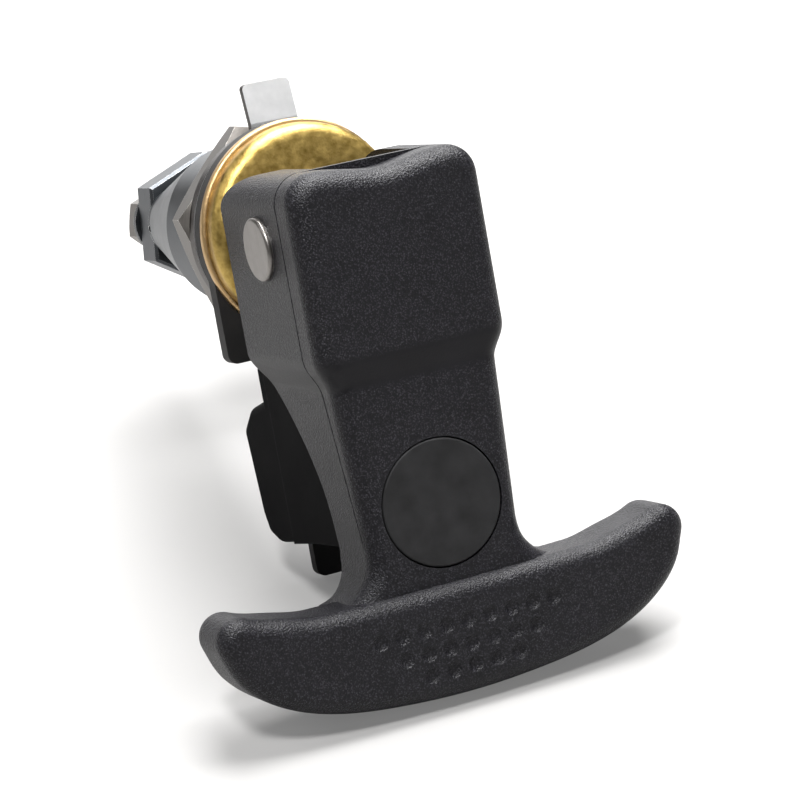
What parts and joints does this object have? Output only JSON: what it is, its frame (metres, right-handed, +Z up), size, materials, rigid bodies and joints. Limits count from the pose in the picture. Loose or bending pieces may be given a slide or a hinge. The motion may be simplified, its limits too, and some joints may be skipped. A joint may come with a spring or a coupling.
{
  "type": "folding T-handle compression latch",
  "caption": "Folding T-handle compression latch: black handle with a push button and lock case, pivoting on a cupped barrel through the panel, with a shaft, sleeve and pawl behind.",
  "frame": {"origin": "where the shaft's axis meets the panel's outer face, which is the gasket's rear face", "axes": "+Y runs along the shaft from the handle through the panel to the pawl, +Z is up, +X is to the right of a person who faces the handle; the handle is folded down"},
  "size_m": [0.1006, 0.1384, 0.1209],
  "materials": {
    "black_texture": "coarse textured black powder coat on a die casting",
    "black_smooth": "smooth matt black coat",
    "yellow_zinc": "zinc plated and yellow passivated steel",
    "bright_zinc": "bright zinc plated steel",
    "matt_zinc": "matt zinc plated pressed steel",
    "plain_steel": "turned plain steel",
    "stainless": "turned stainless steel",
    "bronze": "sintered bronze",
    "spring_steel": "drawn spring wire",
    "rubber": "matt moulded rubber"
  },
  "bodies": {
    "housing": {"guide_barrel": "bright_zinc", "front_bush": "bronze", "shaft_seal": "rubber", "domed_cup": "yellow_zinc", "panel_gasket": "rubber", "tab_washer": "matt_zinc", "flat_washer": "matt_zinc", "mounting_nut": "plain_steel", "tapered_sleeve": "bright_zinc", "bush_clip": "spring_steel"},
    "bush": {"turning_bush": "bronze"},
    "shaft": {"latch_shaft": "stainless", "return_spring": "spring_steel", "spring_seat": "bright_zinc", "seat_clip": "spring_steel", "pawl_collar": "bright_zinc", "pawl": "bright_zinc", "pawl_washer": "bright_zinc", "pawl_lock_nut": "plain_steel"},
    "handle": {"handle_cover": "black_texture", "handle_frame": "black_texture", "pivot_pin": "stainless", "ear_spacers": "bronze", "cover_screws": "stainless", "case_base": "black_texture", "case_back": "black_texture", "case_screws": "stainless", "back_screws": "stainless"},
    "button": {"push_button": "black_smooth", "button_spring": "spring_steel"},
    "catch": {"tongue": "black_smooth", "tongue_spring": "spring_steel"}
  },
  "joints": [
    {"name": "latch_turn", "type": "hinge", "parent": "housing", "child": "bush", "pos_m": [0, 0, 0], "axis": [0, 1, 0], "range_deg": [0, 90]},
    {"name": "compression_travel", "type": "slide", "parent": "bush", "child": "shaft", "axis": [0, 1, 0], "range_m": [0, 0.0028], "deforming": ["return_spring"]},
    {"name": "handle_fold", "type": "hinge", "parent": "shaft", "child": "handle", "pos_m": [0, -0.0306, 0], "axis": [-1, 0, 0], "range_deg": [0, 90]},
    {"name": "button_press", "type": "slide", "parent": "handle", "child": "button", "axis": [0, 1, 0], "range_m": [0, 0.0035], "stiffness_N_per_m": 1200, "springref_m": -0.003, "deforming": ["button_spring"]},
    {"name": "tongue_retract", "type": "slide", "parent": "handle", "child": "catch", "axis": [0, 0, 1], "range_m": [0, 0.00565], "stiffness_N_per_m": 300, "springref_m": -0.003, "deforming": ["tongue_spring"]}
  ],
  "couplings": [
    {"joint": "compression_travel", "follows": "handle_fold", "m_per_rad": 0.00178},
    {"joint": "tongue_retract", "follows": "button_press", "ratio": 1.6}
  ]
}
